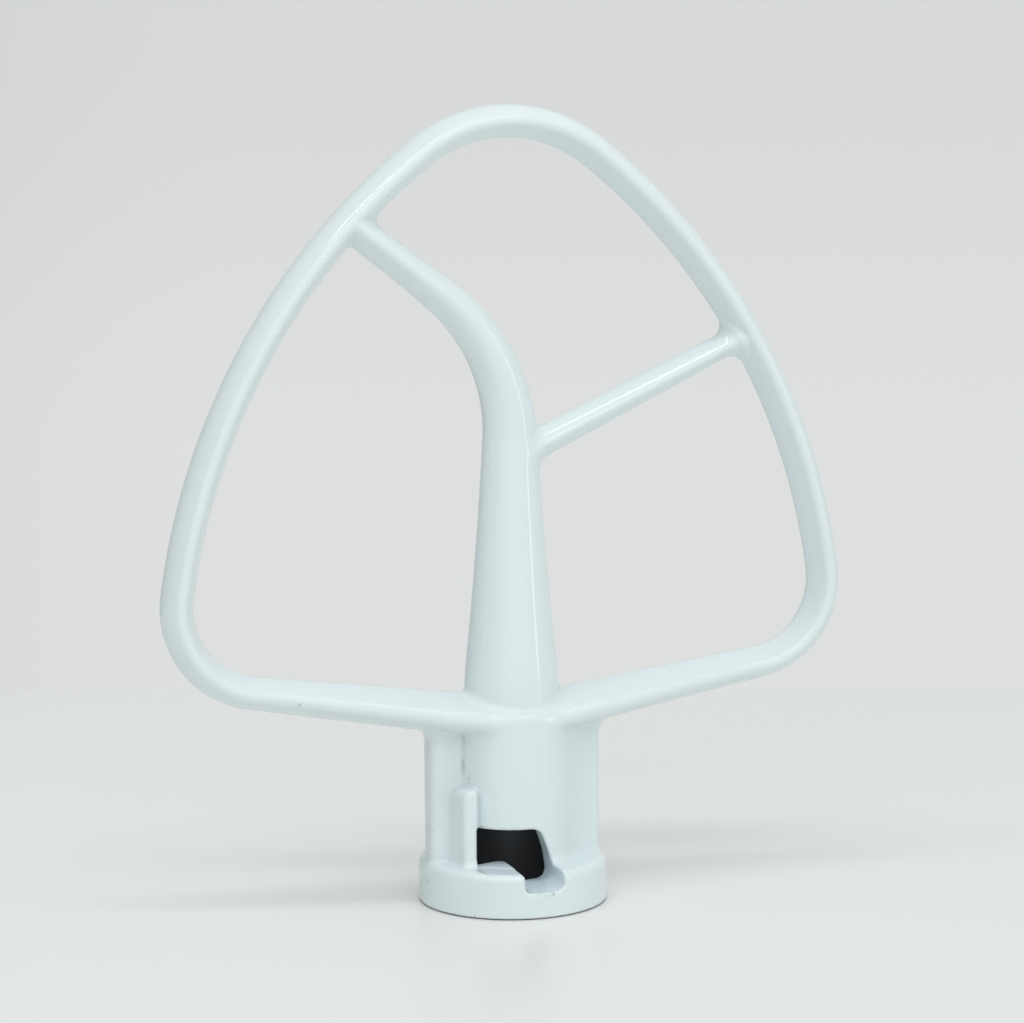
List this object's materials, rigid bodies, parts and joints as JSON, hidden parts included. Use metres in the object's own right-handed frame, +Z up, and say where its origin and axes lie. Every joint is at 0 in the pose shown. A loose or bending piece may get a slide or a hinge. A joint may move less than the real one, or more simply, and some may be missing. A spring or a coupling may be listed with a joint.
{
  "type": "stand mixer flat beater",
  "caption": "One-piece coated flat beater: a rounded triangular blade loop with a bent stem and a branch, on a collared hub with a bayonet drive socket.",
  "frame": {"origin": "centre of the drive socket's mouth, on the flat rim the beater stands on", "axes": "+Z up the socket's axis into the blade, X across the blade's width, +Y from the window side to the back, through the blade's thickness"},
  "size_m": [0.1268, 0.034, 0.142],
  "materials": {
    "coated_casting": "gloss"
  },
  "bodies": {
    "root": {"flat_beater": "coated_casting"}
  },
  "joints": []
}
